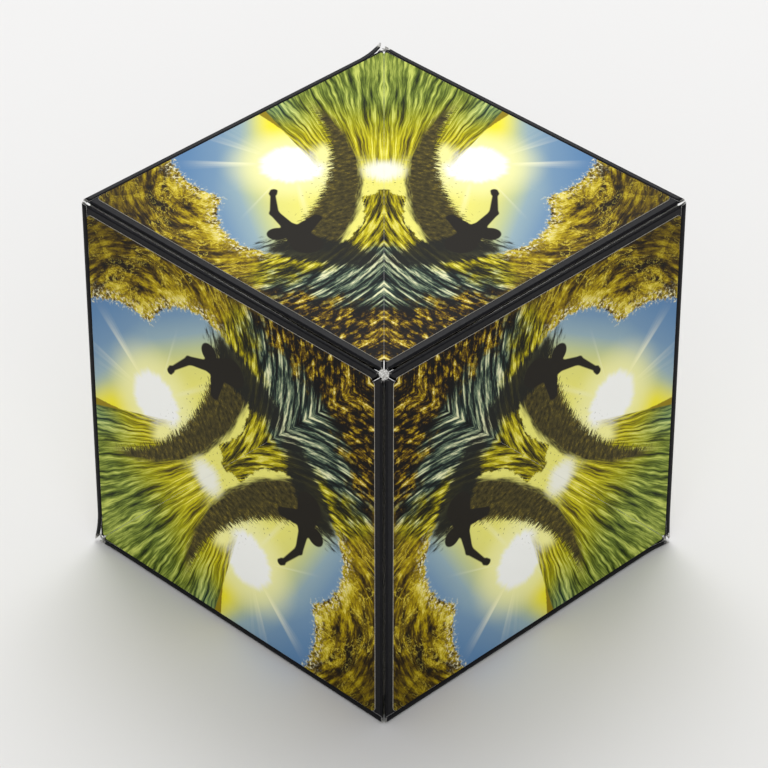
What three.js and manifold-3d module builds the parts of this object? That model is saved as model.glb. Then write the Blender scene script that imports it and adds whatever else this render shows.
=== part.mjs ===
// Folding puzzle cube: a ring of twelve equal tetrahedral modules joined edge to edge by film hinges.
// Closed, the modules fill a cube that stands on one face. Millimetres, +Z up, origin at the middle
// of the bottom face. Every module is a moulded tub with a clip-in cover and three disc magnets.
import * as THREE from 'three';
import { mergeVertices } from 'three/addons/utils/BufferGeometryUtils.js';
import { ConvexGeometry } from 'three/addons/geometries/ConvexGeometry.js';
import Module from 'manifold-3d';

const wasm = await Module();
wasm.setup();

// Driving dimensions
const CUBE_EDGE = 60;
const MODULE_COUNT = 12;
const HALF_GAP = 0.2;            // each inner face sits this far back from its mating plane
const EDGE_RADIUS = 0.2;         // moulded rounding of every edge and tip
const WALL = 1.2;
const COVER_THICKNESS = 1.2;
const CLEARANCE = 0.3;           // between pieces that are fitted together
const RIB_DEPTH = 1.3;           // locating rib under the cover
const RIB_THICKNESS = 0.8;
const MAGNET_DIAMETER = 8;
const MAGNET_THICKNESS = 2;
const COLLAR_WALL = 0.7;
const ROUND_SIDES = 16;

// Derived dimensions of one module, in its own frame: centre of the cube at the origin, outer face
// level with z = FACE_HEIGHT, right-angled corner towards +Y, long edge along X
const FACE_HEIGHT = CUBE_EDGE / 2;
const FACE_REACH = CUBE_EDGE / Math.SQRT2;
const CAVITY_INSET = HALF_GAP + WALL;
const COVER_FLOOR = FACE_HEIGHT - COVER_THICKNESS;
const TUB_TOP = COVER_FLOOR - CLEARANCE;
const MAGNET_SEAT = CAVITY_INSET + CLEARANCE;
const MAGNET_RADIUS = MAGNET_DIAMETER / 2;
const POCKET_RADIUS = (MAGNET_RADIUS + CLEARANCE) / Math.cos(Math.PI / ROUND_SIDES);
const COLLAR_RADIUS = POCKET_RADIUS + COLLAR_WALL;
const COLLAR_TOP = MAGNET_SEAT + MAGNET_THICKNESS + 0.1;
const FAR = 3 * CUBE_EDGE;       // longer than any cut needs
const JOIN = 0.2;                // how far ribs sink into the wall they stand on

const CORNERS = {
  centre: new THREE.Vector3(0, 0, 0),
  right: new THREE.Vector3(0, FACE_REACH, FACE_HEIGHT),
  endA: new THREE.Vector3(-FACE_REACH, 0, FACE_HEIGHT),
  endB: new THREE.Vector3(FACE_REACH, 0, FACE_HEIGHT),
};
const INNER_FACES = [
  ['centre', 'endA', 'endB'],
  ['centre', 'endA', 'right'],
  ['centre', 'endB', 'right'],
];
const OUTER_FACE = ['right', 'endA', 'endB'];

// Manifold solids from three.js geometry, and back
function solidOf(geometry) {
  const bare = geometry.clone();
  bare.deleteAttribute('normal');
  bare.deleteAttribute('uv');
  const merged = mergeVertices(bare, 1e-4);
  return new wasm.Manifold(new wasm.Mesh({
    numProp: 3,
    vertProperties: new Float32Array(merged.attributes.position.array),
    triVerts: new Uint32Array(merged.index.array),
  }));
}

function geometryOf(solid) {
  const { vertProperties, triVerts } = solid.getMesh();
  const geometry = new THREE.BufferGeometry();
  geometry.setAttribute('position', new THREE.BufferAttribute(vertProperties, 3));
  geometry.setIndex(new THREE.BufferAttribute(triVerts, 1));
  geometry.computeVertexNormals();
  return geometry;
}

// Plane of a named face, pointing out of the module and moved inwards by inset
function facePlane(names, inset) {
  const plane = new THREE.Plane().setFromCoplanarPoints(...names.map((name) => CORNERS[name]));
  const middle = new THREE.Vector3();
  Object.values(CORNERS).forEach((corner) => middle.addScaledVector(corner, 0.25));
  if (plane.distanceToPoint(middle) > 0) plane.negate();
  plane.constant += inset;
  return plane;
}

function modulePlanes(innerInset, outerInset) {
  return [
    ...INNER_FACES.map((names) => facePlane(names, innerInset)),
    facePlane(OUTER_FACE, outerInset),
  ];
}

function meetingPoint(planes) {
  const rows = new THREE.Matrix3();
  rows.set(...planes.flatMap((plane) => plane.normal.toArray()));
  const offsets = new THREE.Vector3(...planes.map((plane) => -plane.constant));
  return offsets.applyMatrix3(rows.invert());
}

function cornerTriples(planes) {
  return planes.map((_, skipped) => planes.filter((_plane, index) => index !== skipped));
}

// Tetrahedron between four planes, with sharp edges
function sharpTetra(innerInset, outerInset) {
  const points = cornerTriples(modulePlanes(innerInset, outerInset)).map(meetingPoint);
  return solidOf(new ConvexGeometry(points));
}

// The same with every edge and tip rounded: each tip is a ball patch that touches its three faces
function roundedTetra(innerInset, outerInset, radius) {
  const points = [];
  const planes = modulePlanes(innerInset + radius, outerInset + radius);
  cornerTriples(planes).forEach((triple) => {
    const centre = meetingPoint(triple);
    const normals = triple.map((plane) => plane.normal);
    const directions = [...normals];
    normals.forEach((normal, index) => {
      const next = normals[(index + 1) % normals.length];
      directions.push(normal.clone().add(next).normalize());
    });
    directions.push(normals.reduce((sum, normal) => sum.add(normal), new THREE.Vector3()).normalize());
    directions.forEach((direction) => points.push(centre.clone().addScaledVector(direction, radius)));
  });
  return solidOf(new ConvexGeometry(points));
}

// Slab between two heights, wide enough to cut a whole module
function slab(low, high) {
  const box = new THREE.BoxGeometry(FAR, FAR, high - low);
  return solidOf(box.translate(0, 0, (low + high) / 2));
}

// Round bar that stands on an inner face at its incentre, from one depth to another
function barOnFace(names, radius, from, to) {
  const bar = new THREE.CylinderGeometry(radius, radius, to - from, ROUND_SIDES);
  const inward = facePlane(names, 0).normal.negate();
  const turn = new THREE.Quaternion().setFromUnitVectors(new THREE.Vector3(0, 1, 0), inward);
  const place = incentre(names).addScaledVector(inward, (from + to) / 2);
  return solidOf(bar.applyMatrix4(new THREE.Matrix4().compose(place, turn, new THREE.Vector3(1, 1, 1))));
}

function incentre(names) {
  const points = names.map((name) => CORNERS[name]);
  const weights = points.map((_, index) => points[(index + 1) % 3].distanceTo(points[(index + 2) % 3]));
  const total = weights.reduce((sum, weight) => sum + weight);
  const centre = new THREE.Vector3();
  points.forEach((point, index) => centre.addScaledVector(point, weights[index] / total));
  return centre;
}

function tubSolid() {
  let tub = roundedTetra(HALF_GAP, 0, EDGE_RADIUS).intersect(slab(-FAR, TUB_TOP));
  tub = tub.subtract(sharpTetra(CAVITY_INSET, -WALL));
  for (const names of INNER_FACES) {
    const collar = barOnFace(names, COLLAR_RADIUS, CAVITY_INSET - JOIN, COLLAR_TOP);
    tub = tub.add(collar.subtract(barOnFace(names, POCKET_RADIUS, CAVITY_INSET, FAR)));
  }
  return tub;
}

function coverSolid() {
  const ribOuter = sharpTetra(CAVITY_INSET + CLEARANCE, 0);
  const ribInner = sharpTetra(CAVITY_INSET + CLEARANCE + RIB_THICKNESS, -WALL);
  const ribBand = slab(COVER_FLOOR - RIB_DEPTH, COVER_FLOOR + JOIN);
  const rib = ribOuter.subtract(ribInner).intersect(ribBand);
  return roundedTetra(HALF_GAP, 0, EDGE_RADIUS).intersect(slab(COVER_FLOOR, FAR)).add(rib);
}

function magnetSolid(names) {
  return barOnFace(names, MAGNET_RADIUS, MAGNET_SEAT, MAGNET_SEAT + MAGNET_THICKNESS);
}

// Closed cube: six corners go round it in a zigzag between the two poles, and each of the six edges
// between them carries two modules, one on a face at the upper pole and one on a face at the lower
const UPPER_POLE = new THREE.Vector3(1, -1, 1);
const RIM_CORNERS = [
  new THREE.Vector3(-1, -1, 1),
  new THREE.Vector3(-1, -1, -1),
  new THREE.Vector3(1, -1, -1),
  new THREE.Vector3(1, 1, -1),
  new THREE.Vector3(1, 1, 1),
  new THREE.Vector3(-1, 1, 1),
];

// Turn that brings a module from its own frame to its place in the ring
function moduleTurn(index) {
  const edge = (RIM_CORNERS.length + 1 - Math.floor(index / 2)) % RIM_CORNERS.length;
  const isUpper = Math.floor((index + 1) / 2) % 2 === 1;
  const ends = [edge, (edge + 1) % RIM_CORNERS.length];
  const rightIndex = ends.find((end) => (end % 2 === 0) === isUpper);
  const farIndex = ends.find((end) => end !== rightIndex);
  const pole = UPPER_POLE.clone().multiplyScalar(isUpper ? 1 : -1);
  const right = RIM_CORNERS[rightIndex];
  const faceCentre = pole.clone().add(RIM_CORNERS[farIndex]).multiplyScalar(0.5);
  const zAxis = faceCentre.clone().normalize();
  const yAxis = right.clone().sub(faceCentre).normalize();
  const xAxis = yAxis.clone().cross(zAxis);
  return new THREE.Matrix4().makeBasis(xAxis, yAxis, zAxis);
}

function plastic(color) {
  return new THREE.MeshStandardMaterial({ color, roughness: 0.45, metalness: 0 });
}

const moulding = {
  tub: [geometryOf(tubSolid()), () => plastic('#17171a')],
  cover: [geometryOf(coverSolid()), () => plastic('#8a7a2c')],
};
INNER_FACES.forEach((names, index) => {
  const metal = () => new THREE.MeshStandardMaterial({ color: '#b9bcc0', roughness: 0.25, metalness: 1 });
  moulding[`magnet_${'abc'[index]}`] = [geometryOf(magnetSolid(names)), metal];
});

const cube = new THREE.Group();
cube.position.set(0, 0, CUBE_EDGE / 2);
for (let index = 0; index < MODULE_COUNT; index += 1) {
  const group = new THREE.Group();
  group.quaternion.setFromRotationMatrix(moduleTurn(index));
  const prefix = `module_${String(index + 1).padStart(2, '0')}`;
  for (const [piece, [geometry, material]] of Object.entries(moulding)) {
    const mesh = new THREE.Mesh(geometry, material());
    mesh.name = `${prefix}_${piece}`;
    group.add(mesh);
  }
  cube.add(group);
}

const part = new THREE.Group();
part.add(cube);
export default part;
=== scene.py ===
import math
import random

import bmesh
import bpy
from mathutils import Matrix, Vector


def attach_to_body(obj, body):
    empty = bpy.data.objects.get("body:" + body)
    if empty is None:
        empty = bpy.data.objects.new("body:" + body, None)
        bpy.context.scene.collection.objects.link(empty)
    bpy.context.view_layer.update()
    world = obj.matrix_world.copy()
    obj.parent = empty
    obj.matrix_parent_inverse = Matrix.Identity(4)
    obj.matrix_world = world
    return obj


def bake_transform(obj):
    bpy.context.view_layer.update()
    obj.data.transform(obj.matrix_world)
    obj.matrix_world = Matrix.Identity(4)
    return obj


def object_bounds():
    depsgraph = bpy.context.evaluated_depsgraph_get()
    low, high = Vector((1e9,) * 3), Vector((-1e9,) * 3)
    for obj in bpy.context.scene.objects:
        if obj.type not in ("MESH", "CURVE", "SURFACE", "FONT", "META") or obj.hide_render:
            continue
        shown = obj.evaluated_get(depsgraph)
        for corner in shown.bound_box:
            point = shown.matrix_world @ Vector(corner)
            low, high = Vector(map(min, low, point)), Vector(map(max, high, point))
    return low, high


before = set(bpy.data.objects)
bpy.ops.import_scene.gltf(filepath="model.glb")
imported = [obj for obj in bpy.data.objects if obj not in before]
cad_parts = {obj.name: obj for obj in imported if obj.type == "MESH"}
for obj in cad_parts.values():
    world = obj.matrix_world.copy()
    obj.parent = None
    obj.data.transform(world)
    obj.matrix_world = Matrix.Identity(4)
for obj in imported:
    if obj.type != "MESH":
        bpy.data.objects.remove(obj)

# A folding cube made of a ring of twelve tetrahedral modules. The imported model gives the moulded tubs,
# covers and magnets. This script adds the black film wrapped round each module, the printed labels, the
# film hinges that join the modules, and the worn film ends at the sharp tips.

cad_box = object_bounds()
MM = 0.001

# Sizes of the thin layers, in metres
HALF_GAP = 0.20 * MM          # how far the plastic's inner faces sit back from the mating planes
PLASTIC_RADIUS = 0.20 * MM
FILM = 0.06 * MM              # black film wrapped round the plastic
LABEL = 0.10 * MM             # printed label on the outer face
INNER_LABEL = 0.05 * MM       # printed label on an inner face
STRIP = 0.05 * MM             # film hinge

# Black borders left round the printed labels, measured from the cube's own edges
BORDER_POLE_EDGE = 1.65 * MM
BORDER_RIM_EDGE = 1.15 * MM
BORDER_DIAGONAL = 0.008 * MM
BORDER_INNER = 1.6 * MM
DIAGONAL_BAND = 0.3 * MM      # the cut edge this close to a face's diagonal carries the print's colours
OUTER_LABEL_RADII = (0.35 * MM, 0.35 * MM, 0.9 * MM)      # at the pole, the far corner and the right angle
INNER_LABEL_RADIUS = 0.6 * MM
LABEL_BEVEL_SHARE = 0.35      # of a label's thickness

low, high = cad_box
CENTRE = (low + high) / 2
HALF_EDGE = (high.z - low.z) / 2

# Film hinges: reach onto each face, depth of the fold's centre, clearances, and half the width of a span
# across the fold
RIM_STRIP_REACH = 1.12 * MM
RIM_STRIP_FOLD = 0.30 * MM
RIM_STRIP_MARGIN = 0.42 * MM
MITRE_GAP = 0.08 * MM
POLE_STRIP_REACH = 2.4 * MM
POLE_STRIP_FOLD = 0.45 * MM
POLE_STRIP_FROM_CENTRE = 2.0 * MM
POLE_STRIP_FROM_POLE = 4.5 * MM
RIM_SECTIONS = 64
POLE_SECTIONS = 16
BLEND_HALF = 0.3 * MM

KNOT_CARRIERS = ("module_02", "module_12")      # one module at each pole
KNOT_RADIUS = 0.70 * MM
KNOT_DEPTH = 1.3 * MM
WORN_REACH = 1.3              # mm of white wear at each sharp corner
PEEL_LENGTH = 5.0 * MM        # how far from a sharp corner the rim film has come loose
PEELS = {5: 0.75 * MM, 0: 0.60 * MM, 2: 0.40 * MM}    # rim edge: how far its loose end stands off
SMALL_PEEL = 0.12 * MM
NEIGHBOUR_CLEARANCE = 0.1 * MM
SLIVER_THICKNESS = 0.04 * MM
SLIVER_STEPS = 4
KNOT_RIDGES = 9
FLOOR_DEPTH = 0.2 * MM        # the stage floor lies this far below the plastic

MODULE_COUNT = 12
UPPER_POLE = Vector((1, -1, 1))
RIM_CORNERS = [
    Vector((-1, -1, 1)), Vector((-1, -1, -1)), Vector((1, -1, -1)),
    Vector((1, 1, -1)), Vector((1, 1, 1)), Vector((-1, 1, 1)),
]


def cube_point(signs):
    """Corner of the closed cube, from the signs of its coordinates."""
    return CENTRE + signs * HALF_EDGE


SHARP_CORNERS = [cube_point(UPPER_POLE), cube_point(-UPPER_POLE)]
SHARP_CORNERS += [cube_point(corner) for corner in RIM_CORNERS[1::2]]


class Module:
    """Corners of one tetrahedral module of the closed cube, and its place in the ring."""

    def __init__(self, index):
        self.index = index
        self.body = f"module_{index + 1:02d}"
        edge = (1 - index // 2) % len(RIM_CORNERS)
        self.rim_edge = edge
        self.upper = (index + 1) // 2 % 2 == 1
        ends = [edge, (edge + 1) % len(RIM_CORNERS)]
        right = next(end for end in ends if (end % 2 == 0) == self.upper)
        far = next(end for end in ends if end != right)
        self.pole = cube_point(UPPER_POLE if self.upper else -UPPER_POLE)
        self.right = cube_point(RIM_CORNERS[right])
        self.far = cube_point(RIM_CORNERS[far])
        self.centre = CENTRE.copy()
        self.corners = [self.centre, self.pole, self.right, self.far]

    def middle(self):
        return sum(self.corners, Vector()) / 4


MODULES = [Module(index) for index in range(MODULE_COUNT)]
OPEN_PIVOT = "module_06"      # the ring is open between this module and the next


# ---------------------------------------------------------------- mesh helpers

def new_object(name, mesh, materials):
    """Object that holds mesh, wears these materials and is linked to the scene."""
    obj = bpy.data.objects.new(name, mesh)
    for material in materials:
        mesh.materials.append(material)
    bpy.context.scene.collection.objects.link(obj)
    return obj


def mesh_from(bm, name, smooth=True):
    bmesh.ops.recalc_face_normals(bm, faces=bm.faces)
    mesh = bpy.data.meshes.new(name)
    bm.to_mesh(mesh)
    bm.free()
    for face in mesh.polygons:
        face.use_smooth = smooth
    return mesh


def weigh_normals(obj):
    """Keeps flat faces flat and shades only the small rounded edges between them."""
    modifier = obj.modifiers.new("weighted_normals", "WEIGHTED_NORMAL")
    modifier.mode = "FACE_AREA"
    modifier.weight = 100
    modifier.keep_sharp = False


def plane_of(three, inside, inset):
    """Plane through three points as (normal, distance), facing away from inside and moved inwards."""
    a, b, c = three
    normal = (b - a).cross(c - a).normalized()
    if normal.dot(inside - a) > 0:
        normal.negate()
    return normal, normal.dot(a) - inset


def meeting_point(planes):
    rows = Matrix([plane[0] for plane in planes])
    return rows.inverted() @ Vector([plane[1] for plane in planes])


def ball_directions(normals, steps):
    """Directions that fan out evenly between three face normals."""
    fan = []
    for i in range(steps + 1):
        for j in range(steps + 1 - i):
            k = steps - i - j
            fan.append((normals[0] * i + normals[1] * j + normals[2] * k).normalized())
    return fan


def wrapped_module(module, steps=4):
    """The film's outer skin round a module: four flat faces with small rounded edges and tips."""
    radius = PLASTIC_RADIUS + FILM
    middle = module.middle()
    centre, pole, right, far = module.corners
    faces = [(pole, right, far), (centre, pole, far), (centre, pole, right), (centre, right, far)]
    insets = [-FILM, HALF_GAP - FILM, HALF_GAP - FILM, HALF_GAP - FILM]
    planes = [plane_of(three, middle, inset + radius) for three, inset in zip(faces, insets)]
    bm = bmesh.new()
    for skipped in range(4):
        triple = [plane for index, plane in enumerate(planes) if index != skipped]
        tip = meeting_point(triple)
        for direction in ball_directions([plane[0] for plane in triple], steps):
            bm.verts.new(tip + direction * radius)
    hull = bmesh.ops.convex_hull(bm, input=bm.verts)
    inner = dict.fromkeys(hull["geom_interior"] + hull["geom_unused"])
    spare = [item for item in inner if isinstance(item, bmesh.types.BMVert)]
    bmesh.ops.delete(bm, geom=spare, context="VERTS")
    bmesh.ops.dissolve_limit(bm, angle_limit=math.radians(0.5), verts=bm.verts, edges=bm.edges)
    return bm


def rounded_outline(points, radii, steps=6):
    """Closed outline through straight sides with an arc at each corner; points are (x, y) pairs."""
    outline = []
    count = len(points)
    for index in range(count):
        corner = Vector(points[index])
        before = (Vector(points[index - 1]) - corner).normalized()
        after = (Vector(points[(index + 1) % count]) - corner).normalized()
        half = before.angle(after) / 2
        radius = radii[index]
        middle = corner + (before + after).normalized() * (radius / math.sin(half))
        start = corner + before * (radius / math.tan(half))
        finish = corner + after * (radius / math.tan(half))
        first, last = start - middle, finish - middle
        turn = first.angle_signed(last)
        for step in range(steps + 1):
            angle = -turn * step / steps
            outline.append(middle + Matrix.Rotation(angle, 2) @ first)
    return outline


def inset_triangle(corners, borders):
    """Corners of a flat triangle whose sides are moved inwards; borders[i] is for the side from i to i+1."""
    lines = []
    for index, border in enumerate(borders):
        a, b = Vector(corners[index]), Vector(corners[(index + 1) % 3])
        along = (b - a).normalized()
        inward = Vector((-along.y, along.x))
        if inward.dot(Vector(corners[(index + 2) % 3]) - a) < 0:
            inward.negate()
        lines.append((inward, inward.dot(a) + border))
    moved = []
    for index in range(3):
        first, second = lines[index - 1], lines[index]
        rows = Matrix([first[0], second[0]])
        moved.append(rows.inverted() @ Vector((first[1], second[1])))
    return moved


class FaceFrame:
    """Flat coordinates on one face of a module: x from start to end, y towards apex, z out of the face."""

    def __init__(self, start, end, apex, inside):
        self.origin = start
        self.x = (end - start).normalized()
        self.y = (apex - start - self.x * (apex - start).dot(self.x)).normalized()
        self.z = self.x.cross(self.y)
        if self.z.dot(inside - start) > 0:
            self.z.negate()

    def flat(self, point):
        offset = point - self.origin
        return offset.dot(self.x), offset.dot(self.y)

    def place(self, flat, lift):
        return self.origin + self.x * flat[0] + self.y * flat[1] + self.z * lift


def add_label(bm, face, corners, borders, radii, floor, thickness, layer):
    """Adds a printed label to bm: a thin plate with its print on top and a plain cut edge all round."""
    outline = rounded_outline(inset_triangle([face.flat(c) for c in corners], borders), radii)
    bevel = thickness * LABEL_BEVEL_SHARE
    middle = sum(outline, Vector((0, 0))) / len(outline)
    rings = []
    for inset, lift in ((0, floor), (0, floor + thickness - bevel), (bevel, floor + thickness)):
        ring = []
        for point in outline:
            inner = point - (point - middle).normalized() * inset
            vert = bm.verts.new(face.place(inner, lift))
            vert[layer] = Vector((inner.x / MM, inner.y / MM, 0))
            ring.append(vert)
        rings.append(ring)
    bm.faces.new(rings[-1]).material_index = 0
    bm.faces.new(rings[0]).material_index = 1
    for below, above in zip(rings, rings[1:]):
        for index in range(len(outline)):
            after = (index + 1) % len(outline)
            side = bm.faces.new((below[index], below[after], above[after], above[index]))
            on_diagonal = max(outline[index].y, outline[after].y) < DIAGONAL_BAND
            side.material_index = 0 if on_diagonal else 1


# ---------------------------------------------------------------- shader helpers

class Field:
    """A number at each point of a surface, as one output of a shader node."""

    tree = None

    def __init__(self, socket):
        self.socket = socket

    def __add__(self, other):
        return calc("ADD", self, other)

    def __radd__(self, other):
        return calc("ADD", other, self)

    def __sub__(self, other):
        return calc("SUBTRACT", self, other)

    def __rsub__(self, other):
        return calc("SUBTRACT", other, self)

    def __mul__(self, other):
        return calc("MULTIPLY", self, other)

    def __rmul__(self, other):
        return calc("MULTIPLY", other, self)

    def __truediv__(self, other):
        return calc("DIVIDE", self, other)


def attach(value, socket):
    """Links a field into a node's input, or writes a plain value there."""
    if isinstance(value, Field):
        Field.tree.links.new(value.socket, socket)
    elif isinstance(value, bpy.types.NodeSocket):
        Field.tree.links.new(value, socket)
    else:
        socket.default_value = value


def calc(operation, *values):
    node = Field.tree.nodes.new("ShaderNodeMath")
    node.operation = operation
    for value, socket in zip(values, node.inputs):
        attach(value, socket)
    return Field(node.outputs[0])


def length(x, y):
    return calc("SQRT", x * x + y * y)


def smaller(a, b):
    return calc("MINIMUM", a, b)


def larger(a, b):
    return calc("MAXIMUM", a, b)


def step(value, start, end):
    """0 at start, 1 at end, smooth between; start may lie above end."""
    node = Field.tree.nodes.new("ShaderNodeMapRange")
    node.interpolation_type = "SMOOTHSTEP"
    attach(value, node.inputs["Value"])
    ends = (start, end, 0.0, 1.0) if start < end else (end, start, 1.0, 0.0)
    for name, number in zip(("From Min", "From Max", "To Min", "To Max"), ends):
        node.inputs[name].default_value = number
    return Field(node.outputs[0])


def vector(x, y, z=0.0):
    node = Field.tree.nodes.new("ShaderNodeCombineXYZ")
    for value, socket in zip((x, y, z), node.inputs):
        attach(value, socket)
    return node.outputs[0]


def noise(where, scale, detail=3.0, roughness=0.55, distortion=0.0):
    node = Field.tree.nodes.new("ShaderNodeTexNoise")
    attach(where, node.inputs["Vector"])
    node.inputs["Scale"].default_value = scale
    node.inputs["Detail"].default_value = detail
    node.inputs["Roughness"].default_value = roughness
    node.inputs["Distortion"].default_value = distortion
    return Field(node.outputs["Fac"])


def ramp(value, stops):
    """Colour from a number, through (position, (r, g, b)) stops."""
    node = Field.tree.nodes.new("ShaderNodeValToRGB")
    attach(value, node.inputs["Fac"])
    elements = node.color_ramp.elements
    while len(elements) < len(stops):
        elements.new(0.5)
    for element, (position, colour) in zip(elements, stops):
        element.position = position
        element.color = (*colour, 1)
    return node.outputs["Color"]


def tint(code):
    """Scene-linear colour from a screen colour such as 8a7320."""
    shares = [int(code[i:i + 2], 16) / 255 for i in (0, 2, 4)]
    return tuple(c / 12.92 if c < 0.04045 else ((c + 0.055) / 1.055) ** 2.4 for c in shares)


def shades(value, *stops):
    """Colour from a noise value through (position, screen colour) stops."""
    return ramp(value, [(position, tint(code)) for position, code in stops])


def rough(value, amount, offset=0.5):
    return (value - offset) * amount


def mix(share, below, above):
    """Colour below where share is 0 and colour above where it is 1."""
    node = Field.tree.nodes.new("ShaderNodeMix")
    node.data_type = "RGBA"
    node.clamp_factor = True
    attach(share, node.inputs["Factor"])
    for colour, name in ((below, "A"), (above, "B")):
        socket = next(s for s in node.inputs if s.name == name and s.type == "RGBA")
        attach((*colour, 1) if isinstance(colour, tuple) else colour, socket)
    return next(s for s in node.outputs if s.type == "RGBA")


def deepen(colour, gamma, saturation):
    """Darkens the middle tones of a colour and makes it richer."""
    darker = Field.tree.nodes.new("ShaderNodeGamma")
    attach(colour, darker.inputs["Color"])
    darker.inputs["Gamma"].default_value = gamma
    richer = Field.tree.nodes.new("ShaderNodeHueSaturation")
    attach(darker.outputs["Color"], richer.inputs["Color"])
    richer.inputs["Saturation"].default_value = saturation
    return richer.outputs["Color"]


def bump(height, strength, distance):
    node = Field.tree.nodes.new("ShaderNodeBump")
    node.inputs["Strength"].default_value = strength
    node.inputs["Distance"].default_value = distance
    attach(height, node.inputs["Height"])
    return node.outputs["Normal"]


def new_material(name, colour, roughness, metallic=0.0, specular=0.5):
    """Material with one Principled shader; its tree becomes the one that the helpers add nodes to."""
    material = bpy.data.materials.new(name)
    material.use_nodes = True
    Field.tree = material.node_tree
    shader = Field.tree.nodes["Principled BSDF"]
    shader.inputs["Base Color"].default_value = (*colour, 1)
    shader.inputs["Roughness"].default_value = roughness
    shader.inputs["Metallic"].default_value = metallic
    shader.inputs["Specular IOR Level"].default_value = specular
    return material, shader


def object_place():
    """Coordinates that ride with the piece, in millimetres."""
    place = Field.tree.nodes.new("ShaderNodeTexCoord").outputs["Object"]
    scaled = Field.tree.nodes.new("ShaderNodeVectorMath")
    scaled.operation = "SCALE"
    attach(place, scaled.inputs[0])
    scaled.inputs["Scale"].default_value = 1 / MM
    return scaled.outputs[0]


def label_place():
    """The label's own x and y in millimetres, as fields."""
    node = Field.tree.nodes.new("ShaderNodeAttribute")
    node.attribute_name = "label_mm"
    split = Field.tree.nodes.new("ShaderNodeSeparateXYZ")
    attach(node.outputs["Vector"], split.inputs[0])
    return Field(split.outputs[0]), Field(split.outputs[1])


# ---------------------------------------------------------------- materials

def worn_share(place, reach):
    """1 at the sharp corners of the closed cube and 0 further off than reach, with a ragged border."""
    away = None
    for corner in SHARP_CORNERS:
        node = Field.tree.nodes.new("ShaderNodeVectorMath")
        node.operation = "DISTANCE"
        attach(place, node.inputs[0])
        node.inputs[1].default_value = corner / MM
        distance = Field(node.outputs["Value"])
        away = distance if away is None else smaller(away, distance)
    return step(away + rough(noise(place, 1.6, 4, 0.7), 2.4), reach + 0.15, reach - 0.15)


def black_film():
    """Black film with a fine grain, rubbed through to its white core at the sharp corners."""
    material, shader = new_material("black_film", (0.004, 0.004, 0.005), 0.36, specular=0.12)
    place = object_place()
    grain = noise(place, 2.2, 4, 0.6)
    black = mix(step(grain, 0.3, 0.75), (0.002, 0.002, 0.003), (0.007, 0.007, 0.009))
    white = shades(noise(place, 3.0, 4, 0.7), (0.35, "6e6c68"), (0.5, "b9b7b1"), (0.65, "eeeeea"))
    attach(mix(worn_share(place, WORN_REACH), black, white), shader.inputs["Base Color"])
    attach(0.30 + 0.18 * noise(place, 0.9, 3), shader.inputs["Roughness"])
    attach(bump(grain, 0.12, 0.02 * MM), shader.inputs["Normal"])
    return material


def film_core():
    """Pale core of the film, seen where it peels and frays."""
    material, shader = new_material("film_core", (0.6, 0.6, 0.58), 0.75)
    grain = noise(object_place(), 3.5, 4, 0.7)
    attach(shades(grain, (0.35, "7d7b77"), (0.5, "bfbdb8"), (0.62, "f2f2ee")), shader.inputs["Base Color"])
    attach(bump(grain, 0.3, 0.05 * MM), shader.inputs["Normal"])
    return material


def cut_edge():
    """White paper core that shows where a printed label is cut."""
    material, shader = new_material("label_cut_edge", (0.42, 0.40, 0.34), 0.8)
    fibres = noise(object_place(), 6.0, 4, 0.6)
    attach(ramp(fibres, [(0.3, (0.20, 0.18, 0.13)), (0.7, (0.62, 0.60, 0.54))]), shader.inputs["Base Color"])
    return material


def stroke(x, y, start, end, radii):
    """Distance to a straight limb that tapers between its two radii."""
    along = (end[0] - start[0], end[1] - start[1])
    share = ((x - start[0]) * along[0] + (y - start[1]) * along[1]) / (along[0] ** 2 + along[1] ** 2)
    share = smaller(larger(share, 0.0), 1.0)
    reach = length(x - start[0] - share * along[0], y - start[1] - share * along[1])
    return reach - radii[0] - share * (radii[1] - radii[0])


# The picture's own layout, in millimetres along and above the label's long side
EYE = (49.0, 22.0)            # the water curls round this point
EYE_STRETCH = 1.4
SUN = (51.6, 13.0)
FAN = (38.0, 0.5)             # the streaks of the wave's shoulder fan out from here
HORIZON_START = (49.5, 8.9)
HORIZON_SLOPE = 0.50


def curl(x, y, along, across, detail=6.0, roughness=0.62, distortion=0.0):
    """Noise drawn out along ellipses round the eye of the wave."""
    dx, dy = (x - EYE[0]) / EYE_STRETCH, y - EYE[1]
    rho = length(dx, dy)
    where = vector(dx / rho * along, dy / rho * along, rho * across)
    return noise(where, 1.0, detail, roughness, distortion)


def fan_streaks(x, y):
    """Noise drawn out along rays that spread to the right from the foot of the wave's shoulder."""
    bearing = calc("ARCTAN2", y - FAN[1], x - FAN[0])
    reach = length(x - FAN[0], y - FAN[1])
    wobble = rough(noise(vector(x * 0.09, y * 0.20), 1.0, 2), 0.06)
    return noise(vector(reach * 0.085, (bearing + wobble) * 46.0), 1.0, 6, 0.66, 0.12)


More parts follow.
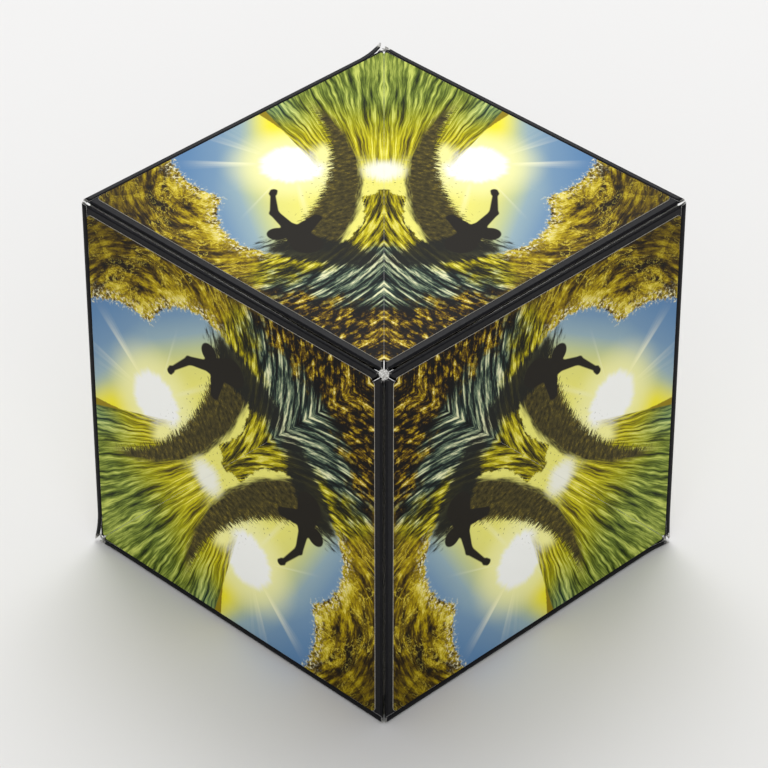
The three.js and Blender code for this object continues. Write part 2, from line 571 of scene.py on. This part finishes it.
def water_colours(x, y):
    """Water of the tube: brown and gold at the pole, blue-grey up the wall, green and yellow at the foot."""
    streaks = curl(x, y, 5.5, 1.9, 6, 0.66, 0.15)
    broad = curl(x, y, 2.6, 0.32, 3, 0.5)
    value = streaks * 0.78 + broad * 0.22
    wall = shades(value, (0.39, "0b1011"), (0.455, "232d2b"), (0.50, "465550"), (0.55, "93a08a"),
                  (0.62, "f0efd0"))
    foot = shades(streaks * 0.94 + broad * 0.06, (0.37, "241f05"), (0.44, "5d5718"), (0.50, "9c9338"),
                  (0.55, "cdc356"), (0.63, "f4eea6"))
    patches = noise(vector(x * 0.42 + y * 0.2, y * 0.50), 1.0, 7, 0.74, 0.35)
    corner = shades(patches * 0.6 + streaks * 0.4, (0.44, "120b03"), (0.49, "30220c"), (0.525, "7c6522"),
                    (0.56, "c6b057"), (0.62, "fbf3c4"))
    blotch = noise(vector(x * 0.22, y * 0.22), 1.0, 4, 0.6)
    colour = mix(step(x + y * 0.55 + rough(blotch, 14.0), 28.0, 33.0), wall, foot)
    corner_share = step(x - y * 0.25 + rough(blotch, 16.0) + rough(streaks, 6.0), 17.5, 13.5)
    return mix(corner_share, colour, corner), streaks


def shoulder_colours(x, y):
    """The far shoulder of the wave: gold below the sun, teal and green to the right."""
    streaks = fan_streaks(x, y)
    gold = shades(streaks, (0.37, "5c5008"), (0.45, "a39b22"), (0.53, "d2c944"), (0.64, "faf49c"))
    green = shades(streaks, (0.37, "283414"), (0.45, "66743a"), (0.53, "93a05a"), (0.63, "d3da88"))
    teal = shades(streaks, (0.37, "24403a"), (0.45, "56745e"), (0.53, "8da57c"), (0.63, "cfdca2"))
    above = y - HORIZON_START[1] - (x - HORIZON_START[0]) * HORIZON_SLOPE
    colour = mix(step(x - y * 0.2, 55.0, 70.0), gold, green)
    return mix(step(above, -8.0, -1.5) * step(x, 58.0, 68.0) * 0.85, colour, teal)


def lip_colours(x, y, edge):
    """Falling foam of the lip, lit from behind where it thins out towards the sky."""
    strands = curl(x, y, 2.6, 0.85, 8, 0.72, 0.35)
    tangle = noise(vector(x * 0.40, y * 0.40), 1.0, 7, 0.74, 0.6)
    vein = calc("ABSOLUTE", curl(x, y, 1.7, 0.26, 6, 0.72, 0.7) - 0.5)
    value = strands * 0.72 + tangle * 0.28 + step(edge, 9.0, 0.5) * 0.045 - step(y, 22.0, 40.0) * 0.03
    colour = shades(value, (0.39, "241a06"), (0.46, "544416"), (0.51, "87742a"), (0.56, "b9a640"),
                    (0.65, "eee39c"))
    colour = mix(step(vein, 0.016, 0.003) * step(tangle, 0.40, 0.55) * 0.8, colour, tint("efe294"))
    haze = step(y, 28.0, 40.0) * 0.5
    return mix(haze, colour, mix(step(strands, 0.42, 0.60), tint("352a10"), tint("766832")))


def sky_colours(x, y):
    """Blue above, yellow near the water, with the sun's disc, halo and rays."""
    height = y + larger(45.0 - x, 0.0) * 0.25
    sky = shades(height / 40.0, (0.31, "f0ea78"), (0.40, "e6e27c"), (0.465, "c2cc98"), (0.52, "97b0b8"),
                 (0.60, "7596b4"), (0.70, "6087af"), (0.85, "4c74a6"))
    sky = mix(step(x, 54.0, 62.0) * step(y - x * 0.1, 14.0, 9.5), sky, tint("f7ea2c"))
    dx, dy = x - SUN[0], y - SUN[1]
    away = length(dx, dy)
    rays = noise(vector(dx / away * 3.2, dy / away * 3.2, 1.7), 1.0, 3, 0.75)
    sky = mix(step(rays, 0.54, 0.68) * step(away, 17.0, 4.0) * 0.75, sky, tint("fffce0"))
    sky = mix(step(away, 11.0, 4.6) * 0.85, sky, tint("fbf8b2"))
    return mix(step(away + rough(rays, 2.0), 5.4, 3.9), sky, tint("fdfdf8"))


def wave_picture():
    """Sunset seen through a breaking wave, composed like the real cube's print, as one colour socket."""
    x, y = label_place()
    flat = vector(x, y)
    fringe = noise(flat, 0.9, 6, 0.72)
    colour, streaks = water_colours(x, y)

    # the opening, as two overlapping rounds with a ragged edge
    edge = smaller(length(x - 39.0, (y - 13.0) * 1.05) - 10.8, length(x - 58.0, y - 13.0) - 18.2)
    edge = edge + rough(fringe, 3.2)
    lip = step(y - 15.5 + rough(noise(flat, 0.16, 3), 16.0), -1.0, 3.0)
    colour = mix(lip * step(x, 22.0, 26.0) + step(y - x * 0.55 + rough(fringe, 6.0), 4.5, 7.5), colour,
                 lip_colours(x, y, edge))
    colour = deepen(colour, 1.36, 1.16)
    colour = mix(step(edge, 0.2, -0.2), colour, sky_colours(x, y))
    sparkle = step(edge, -0.9, 0.1) * step(edge, 2.4, 0.5) * step(y, 14.0, 19.0)
    colour = mix(sparkle * step(noise(flat, 1.9, 4, 0.7), 0.50, 0.62), colour, tint("f7f0c4"))

    # headland and the wave's shoulder in front of it
    above = y - HORIZON_START[1] - (x - HORIZON_START[0]) * HORIZON_SLOPE
    hill = step(x, 60.0, 66.5) * 1.5 + rough(fringe, 0.5)
    colour = mix(step(above - hill, 0.15, -0.1) * step(x, 58.5, 60.5), colour, tint("94800f"))
    on_right = step(x - y * 0.3 + rough(streaks, 10.0), 46.5, 55.0)
    colour = mix(step(above, 0.12, -0.12) * on_right, colour, deepen(shoulder_colours(x, y), 1.22, 1.12))
    glint = length((x - 54.2) / 3.4, (y - 8.7) / 1.5)
    colour = mix(step(glint, 1.25, 0.25), colour, tint("fbf6a0"))

    # spray thrown up in front: a dark crescent, grassy on top
    grass = noise(vector(x * 3.4 + y * 1.2, y * 0.6), 1.0, 5, 0.8)
    top = 7.3 + (x - 53.0) * (x - 53.0) * 0.0145 + larger(rough(grass, 7.0, 0.46), -0.4)
    foot = 3.0 + (x - 46.0) * (x - 46.0) * 0.0135 + rough(streaks, 2.4)
    crescent = step(y - top, 0.3, -0.3) * step(y - foot, -0.4, 0.7)
    crescent = crescent * step(x, 27.0, 30.0) * step(x, 70.0, 64.0)
    tufts = noise(vector(x * 1.5 + y * 0.4, y * 0.9), 1.0, 6, 0.7)
    tufts = tufts + step(x, 36.0, 62.0) * 0.04 + (y - foot) * 0.010
    colour = mix(crescent, colour, shades(tufts, (0.38, "221e0a"), (0.52, "3f3818"), (0.62, "564c1e"),
                                          (0.74, "8f7c24")))
    drops = step(noise(flat, 1.6, 3, 0.6), 0.62, 0.68) * step(y - top, 4.5, 0.5) * step(x, 36.0, 40.0)
    colour = mix(drops * step(x, 60.0, 50.0) * 0.8, colour, tint("5c5016"))

    # shade at the foot of the falling water
    shade = length((x - 28.9 - (y - 8.0) * 0.22) / 3.4, (y - 8.0) / 8.8) + rough(streaks, 1.8)
    colour = mix(step(shade, 1.18, 0.78) * 0.95, colour, tint("1a1b16"))

    # small rider: a plain dark figure with one arm out
    figure = length(x - 33.5, y - 14.7) - 1.55
    limbs = [((31.0, 10.6), (34.9, 13.0), (2.3, 1.35)), ((35.3, 13.2), (38.8, 15.3), (0.95, 0.7)),
             ((38.8, 15.3), (43.4, 15.6), (0.65, 0.38)), ((43.9, 15.6), (44.5, 15.5), (0.6, 0.55)),
             ((34.2, 11.6), (37.6, 9.4), (1.5, 0.8))]
    for start, end, radii in limbs:
        figure = calc("SMOOTH_MIN", figure, stroke(x, y, start, end, radii), 0.5)
    colour = mix(step(figure, 0.12, -0.12), colour, tint("1f1b14"))

    # sunlight on the water at the long side, mirrored by the next module
    pool = length((x - 50.0) / 3.2, y / 3.4) + rough(streaks, 0.8)
    return mix(step(pool, 1.15, 0.35), colour, tint("f7f6e6"))


def printed_picture():
    material, shader = new_material("printed_label", (0.4, 0.35, 0.1), 0.30, specular=0.06)
    attach(wave_picture(), shader.inputs["Base Color"])
    place = object_place()
    attach(0.26 + 0.14 * noise(place, 0.35, 3), shader.inputs["Roughness"])
    attach(bump(noise(place, 1.1, 3), 0.10, 0.03 * MM), shader.inputs["Normal"])
    return material


def printed_water():
    """Rippled water in evening light, for the faces that are hidden while the cube is closed."""
    material, shader = new_material("printed_inner_label", (0.3, 0.3, 0.12), 0.30, specular=0.06)
    x, y = label_place()
    reach = length(x, y)
    bend = noise(vector(x, y), 0.10, 3) * 14.0
    ripples = noise(vector((x + bend) * 0.07, (y + bend) * 0.45), 1.5, 7, 0.66, 0.4)
    water = ramp(ripples, [(0.34, (0.010, 0.022, 0.030)), (0.46, (0.05, 0.13, 0.16)),
                           (0.54, (0.32, 0.33, 0.08)), (0.66, (0.93, 0.80, 0.30))])
    deep = ramp(ripples, [(0.36, (0.006, 0.014, 0.030)), (0.50, (0.03, 0.10, 0.22)),
                          (0.66, (0.35, 0.55, 0.62))])
    attach(mix(step(reach, 10.0, 60.0), water, deep), shader.inputs["Base Color"])
    attach(bump(noise(object_place(), 1.1, 3), 0.10, 0.03 * MM), shader.inputs["Normal"])
    return material


def moulded_plastic():
    material, shader = new_material("moulded_plastic", (0.02, 0.02, 0.022), 0.5)
    grain = noise(object_place(), 5.0, 3)
    attach(bump(grain, 0.2, 0.02 * MM), shader.inputs["Normal"])
    attach(0.42 + 0.16 * grain, shader.inputs["Roughness"])
    return material


def nickel():
    material, shader = new_material("nickel", (0.72, 0.70, 0.67), 0.22, metallic=1.0)
    attach(0.16 + 0.2 * noise(object_place(), 2.0, 4), shader.inputs["Roughness"])
    return material


# ---------------------------------------------------------------- pieces

def make_wrap(module, material):
    obj = new_object(f"{module.body}_film", mesh_from(wrapped_module(module), "film"), [material])
    weigh_normals(obj)
    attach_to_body(obj, module.body)


def make_outer_label(module, print_material, edge_material):
    bm = bmesh.new()
    layer = bm.verts.layers.float_vector.new("label_mm")
    face = FaceFrame(module.pole, module.far, module.right, module.middle())
    borders = (BORDER_DIAGONAL, BORDER_RIM_EDGE, BORDER_POLE_EDGE)
    corners = (module.pole, module.far, module.right)
    add_label(bm, face, corners, borders, OUTER_LABEL_RADII, FILM, LABEL, layer)
    mesh = mesh_from(bm, "outer_label", smooth=False)
    obj = new_object(f"{module.body}_label", mesh, [print_material, edge_material])
    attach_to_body(obj, module.body)


def make_inner_labels(module, print_material, edge_material):
    bm = bmesh.new()
    layer = bm.verts.layers.float_vector.new("label_mm")
    pairs = ((module.pole, module.far), (module.pole, module.right), (module.far, module.right))
    for start, end in pairs:
        face = FaceFrame(module.centre, start, end, module.middle())
        borders = (BORDER_INNER,) * 3
        radii = (INNER_LABEL_RADIUS,) * 3
        floor = FILM - HALF_GAP
        add_label(bm, face, (module.centre, start, end), borders, radii, floor, INNER_LABEL, layer)
    mesh = mesh_from(bm, "inner_labels", smooth=False)
    obj = new_object(f"{module.body}_inner_labels", mesh, [print_material, edge_material])
    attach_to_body(obj, module.body)


def keep_off_the_floor(bm):
    """Flattens loose film that would reach below the labels that the cube rests on."""
    lowest = CENTRE.z - HALF_EDGE - FILM - LABEL
    for vert in bm.verts:
        vert.co.z = max(vert.co.z, lowest)


def hinge_ring(toward_a, toward_b, depths, fold, reaches, steps=6):
    """Section of a strip folded round the edge between two faces, as offsets from that edge.

    toward_a and toward_b lie in the faces, at right angles to the edge, and reaches are how far the strip
    goes onto each. depths are those of its outer and inner surfaces below the faces, and fold that of the
    centre it bends round.
    """
    half = toward_a.angle(toward_b) / 2
    inward_a = (toward_b - toward_a * toward_b.dot(toward_a)).normalized()
    inward_b = (toward_a - toward_b * toward_a.dot(toward_b)).normalized()
    middle = (toward_a + toward_b).normalized() * (fold / math.sin(half))
    paths = []
    for depth in depths:
        path = [toward_a * reaches[0] + inward_a * depth]
        for index in range(steps + 1):
            share = index / steps
            outward = -(inward_a * (1 - share) + inward_b * share).normalized()
            path.append(middle + outward * (fold - depth))
        path.append(toward_b * reaches[1] + inward_b * depth)
        paths.append(path)
    return paths


def sweep_strip(bm, stations, half=None):
    """Skins a strip through its sections: outer side in material 0, inner side and ends in material 1.

    half keeps only the strip's first or second half, for a strip that is cut along its fold.
    """
    rings = []
    for outer, inner in stations:
        if half is not None:
            middle = len(outer) // 2
            keep = slice(None, middle) if half == 0 else slice(middle, None)
            outer, inner = outer[keep], inner[keep]
        rings.append([bm.verts.new(point) for point in outer + inner[::-1]])
    side = len(rings[0]) // 2
    for first, second in zip(rings, rings[1:]):
        for index in range(len(first)):
            after = (index + 1) % len(first)
            face = bm.faces.new((first[index], first[after], second[after], second[index]))
            face.material_index = 0 if index < side - 1 else 1
    for end in (rings[0], rings[-1]):
        for index in range(side - 1):
            cap = bm.faces.new((end[index], end[index + 1], end[-2 - index], end[-1 - index]))
            cap.material_index = 1


def strip_stations(start, end, count, ring_at):
    """Sections of a strip along an edge; ring_at(distance from end) gives the offsets and the shift there."""
    along = (end - start).normalized()
    whole = (end - start).length
    stations = []
    for index in range(count + 1):
        travelled = whole * index / count
        paths, shift = ring_at(whole - travelled)
        stations.append([[start + along * travelled + shift + offset for offset in path] for path in paths])
    return stations


def across(start, end, point):
    """Unit vector at right angles to an edge, towards point."""
    along = (end - start).normalized()
    offset = point - start
    return (offset - along * offset.dot(along)).normalized()


def make_rim_hinge(first, second, film, core):
    """Black film strip round an outer edge of the cube, with its end at the upper module's tip peeled off.

    Where two strips meet on one face, each is cut at 45 degrees, along the diagonal between their modules.
    """
    upper, lower = (first, second) if first.upper else (second, first)
    start, end = upper.right, upper.far
    whole = (end - start).length
    along = (end - start).normalized()
    toward_upper = across(start, end, upper.pole)
    toward_lower = across(start, end, lower.pole)
    peel = PEELS.get(first.rim_edge, SMALL_PEEL)
    outward = -(toward_upper + toward_lower).normalized()
    depths = (-FILM - STRIP, -FILM * 1.1)
    shortest = RIM_STRIP_FOLD * 1.07

    def ring_at(left):
        to_tip = left + RIM_STRIP_MARGIN
        loose = max(0.0, 1 - left / PEEL_LENGTH)
        reach = RIM_STRIP_REACH * (1 - 0.25 * loose) + 0.03 * MM * math.sin(left / MM * 0.9 + first.index)
        reaches = [max(shortest, min(reach, near - MITRE_GAP)) for near in (to_tip, whole - to_tip)]
        ring = hinge_ring(toward_upper, toward_lower, depths, RIM_STRIP_FOLD, reaches)
        return ring, outward * (peel * loose ** 2)

    bm = bmesh.new()
    margin = along * RIM_STRIP_MARGIN
    sweep_strip(bm, strip_stations(start + margin, end - margin, RIM_SECTIONS, ring_at))
    keep_off_the_floor(bm)
    name = f"rim_hinge_film_{first.index + 1:02d}_{second.index + 1:02d}"
    obj = new_object(name, mesh_from(bm, "rim_hinge_film"), [film, core])
    middle = (start + end) / 2
    aside = (toward_lower - toward_upper).normalized() * BLEND_HALF
    tuple(middle - aside)
    tuple(middle + aside)
    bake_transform(obj)


def make_pole_hinge(first, second, film, core, joined):
    """Film strip inside the cube, along the line from its centre to a pole, that joins two modules."""
    start, end = first.centre, first.pole
    along = (end - start).normalized()
    toward_a = across(start, end, first.right)
    toward_b = across(start, end, second.right)
    inner_depth = HALF_GAP - FILM
    depths = (inner_depth - STRIP, inner_depth)
    ring = hinge_ring(toward_a, toward_b, depths, POLE_STRIP_FOLD, (POLE_STRIP_REACH, POLE_STRIP_REACH))
    span = (start + along * POLE_STRIP_FROM_CENTRE, end - along * POLE_STRIP_FROM_POLE)
    stations = strip_stations(*span, POLE_SECTIONS, lambda left: (ring, Vector()))
    name = f"pole_hinge_film_{first.index + 1:02d}_{second.index + 1:02d}"
    if joined:
        bm = bmesh.new()
        sweep_strip(bm, stations)
        obj = new_object(name, mesh_from(bm, "pole_hinge_film"), [film, film])
        middle = (start + end) / 2
        aside = (toward_b - toward_a).normalized() * BLEND_HALF
        tuple(middle - aside)
        tuple(middle + aside)
        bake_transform(obj)
        return
    for half, module in enumerate((first, second)):
        bm = bmesh.new()
        sweep_strip(bm, stations, half)
        obj = new_object(f"{name}_half_{half + 1}", mesh_from(bm, "pole_hinge_film"), [film, film])
        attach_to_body(obj, module.body)


def add_sliver(bm, root, heading, sideways, size, width):
    """Adds one torn sliver of film: a thin tapering tongue that bends as it goes."""
    rings = []
    for index in range(SLIVER_STEPS + 1):
        share = index / SLIVER_STEPS
        lift = heading.cross(sideways).normalized() * (0.35 * size * share ** 2)
        middle = root + heading * (size * share) + lift
        half = sideways * (width / 2 * (1 - 0.8 * share))
        up = heading.cross(sideways).normalized() * SLIVER_THICKNESS / 2
        section = ((-half, -up), (half, -up), (half, up), (-half, up))
        rings.append([bm.verts.new(middle + a + b) for a, b in section])
    for first, second in zip(rings, rings[1:]):
        for index in range(4):
            after = (index + 1) % 4
            bm.faces.new((first[index], first[after], second[after], second[index]))
    bm.faces.new(rings[0])
    bm.faces.new(rings[-1])


def add_knot(bm, middle, draw):
    """Adds a small crumpled lump of worn film, as it gathers in the hollow between six tips."""
    lump = bmesh.ops.create_icosphere(bm, subdivisions=3, radius=KNOT_RADIUS)
    ridges = [Vector([draw.uniform(-1, 1) for _ in range(3)]).normalized() for _ in range(KNOT_RIDGES)]
    for vert in lump["verts"]:
        outward = vert.co.normalized()
        crease = sum(abs(outward.dot(ridge)) ** 6 for ridge in ridges)
        vert.co = middle + vert.co * (0.82 + 0.16 * min(crease, 2.0))


def keep_off_the_neighbour(bm, module):
    """Holds slivers behind the outer face of the module across the rim edge, clear of it as it folds out."""
    face = FaceFrame(module.pole, module.far, module.right, module.middle())
    beside = (module.right - module.far).cross(face.z).normalized()
    if (module.middle() - module.far).dot(beside) > 0:
        beside = -beside
    for vert in bm.verts:
        over = (vert.co - module.far).dot(beside) + NEIGHBOUR_CLEARANCE
        if over > 0:
            vert.co -= beside * over


def make_frayed_ends(module, core):
    """White slivers of torn film at the module's two sharp outer corners."""
    draw = random.Random(100 + module.index)
    bm = bmesh.new()
    face = FaceFrame(module.pole, module.far, module.right, module.middle())
    at_far_end = (6, 1.3) if module.upper else (1, 0.6)
    for corner, count, longest in ((module.pole, draw.choice((0, 1, 1)), 1.1), (module.far, *at_far_end)):
        other = module.far if corner is module.pole else module.pole
        middle_line = ((other - corner).normalized() + (module.right - corner).normalized()).normalized()
        for _ in range(count):
            side = face.z.cross(middle_line).normalized() * draw.uniform(-0.55, 0.35)
            tilt = face.z * draw.uniform(-0.45, 0.15)
            heading = (-middle_line * draw.uniform(0.4, 1.0) + side + tilt).normalized()
            root = corner + middle_line * draw.uniform(0.9, 1.6) * MM + side * MM * 0.5
            root -= face.z * (draw.uniform(0.0, 0.25) * MM)
            sideways = heading.cross(face.z + side).normalized()
            size = draw.uniform(0.45, longest) * MM
            width = draw.uniform(0.2, 0.42) * MM
            add_sliver(bm, root, heading, sideways, size, width)
    keep_off_the_neighbour(bm, module)
    if module.body in KNOT_CARRIERS:
        add_knot(bm, module.pole + (module.centre - module.pole).normalized() * KNOT_DEPTH, draw)
    keep_off_the_floor(bm)
    obj = new_object(f"{module.body}_frayed_ends", mesh_from(bm, "frayed_ends"), [core])
    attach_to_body(obj, module.body)


def dress_cad_nodes():
    plastic, metal = moulded_plastic(), nickel()
    for name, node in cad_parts.items():
        material = metal if "_magnet_" in name else plastic
        for slot in node.material_slots:
            slot.material = material


def build_object():
    film, edge, core = black_film(), cut_edge(), film_core()
    picture, water = printed_picture(), printed_water()
    dress_cad_nodes()
    for module in MODULES:
        make_wrap(module, film)
        make_outer_label(module, picture, edge)
        make_inner_labels(module, water, edge)
        make_frayed_ends(module, core)
    for index in range(0, MODULE_COUNT, 2):
        make_rim_hinge(MODULES[index], MODULES[index + 1], film, core)
    for index in range(1, MODULE_COUNT, 2):
        first, second = MODULES[index], MODULES[(index + 1) % MODULE_COUNT]
        make_pole_hinge(first, second, film, core, joined=first.body != OPEN_PIVOT)


# ---------------------------------------------------------------- stage, light and camera

AZIMUTH = math.radians(45.0)
ELEVATION = math.radians(35.3)
CAMERA_DISTANCE = 0.5786
AIM_BELOW_CENTRE = 0.0016
FIELD_OF_VIEW = math.radians(10.98)


def make_camera():
    data = bpy.data.cameras.new("camera")
    data.angle = FIELD_OF_VIEW
    camera = bpy.data.objects.new("camera", data)
    back = Vector((math.sin(AZIMUTH) * math.cos(ELEVATION), -math.cos(AZIMUTH) * math.cos(ELEVATION),
                   math.sin(ELEVATION)))
    camera.location = CENTRE - Vector((0, 0, AIM_BELOW_CENTRE)) + back * CAMERA_DISTANCE
    camera.rotation_euler = back.to_track_quat("Z", "Y").to_euler()
    bpy.context.scene.collection.objects.link(camera)
    bpy.context.scene.camera = camera
    return back


def make_floor():
    bm = bmesh.new()
    bmesh.ops.create_grid(bm, x_segments=2, y_segments=2, size=3.0)
    material, shader = new_material("floor", (0.80, 0.79, 0.78), 0.7)
    shader.inputs["Specular IOR Level"].default_value = 0.2
    floor = new_object("floor", mesh_from(bm, "floor"), [material])
    floor.location.z = -FLOOR_DEPTH


def add_area_light(name, place, size, power, colour=(1, 1, 1)):
    data = bpy.data.lights.new(name, "AREA")
    data.shape = "SQUARE"
    data.size = size
    data.energy = power
    data.color = colour
    light = bpy.data.objects.new(name, data)
    light.location = place
    light.rotation_euler = (Vector(place) - CENTRE).to_track_quat("Z", "Y").to_euler()
    bpy.context.scene.collection.objects.link(light)


def make_lights():
    world = bpy.data.worlds.new("world")
    world.use_nodes = True
    background = world.node_tree.nodes["Background"]
    background.inputs["Color"].default_value = (0.97, 0.985, 1.0, 1)
    background.inputs["Strength"].default_value = 0.52
    bpy.context.scene.world = world
    add_area_light("key", (-0.40, 0.40, 0.95), 0.8, 7.8)
    add_area_light("fill", (0.60, -0.60, 0.50), 0.7, 2.6)
    bpy.context.scene.view_settings.view_transform = "Standard"


make_camera()
make_floor()
make_lights()
build_object()
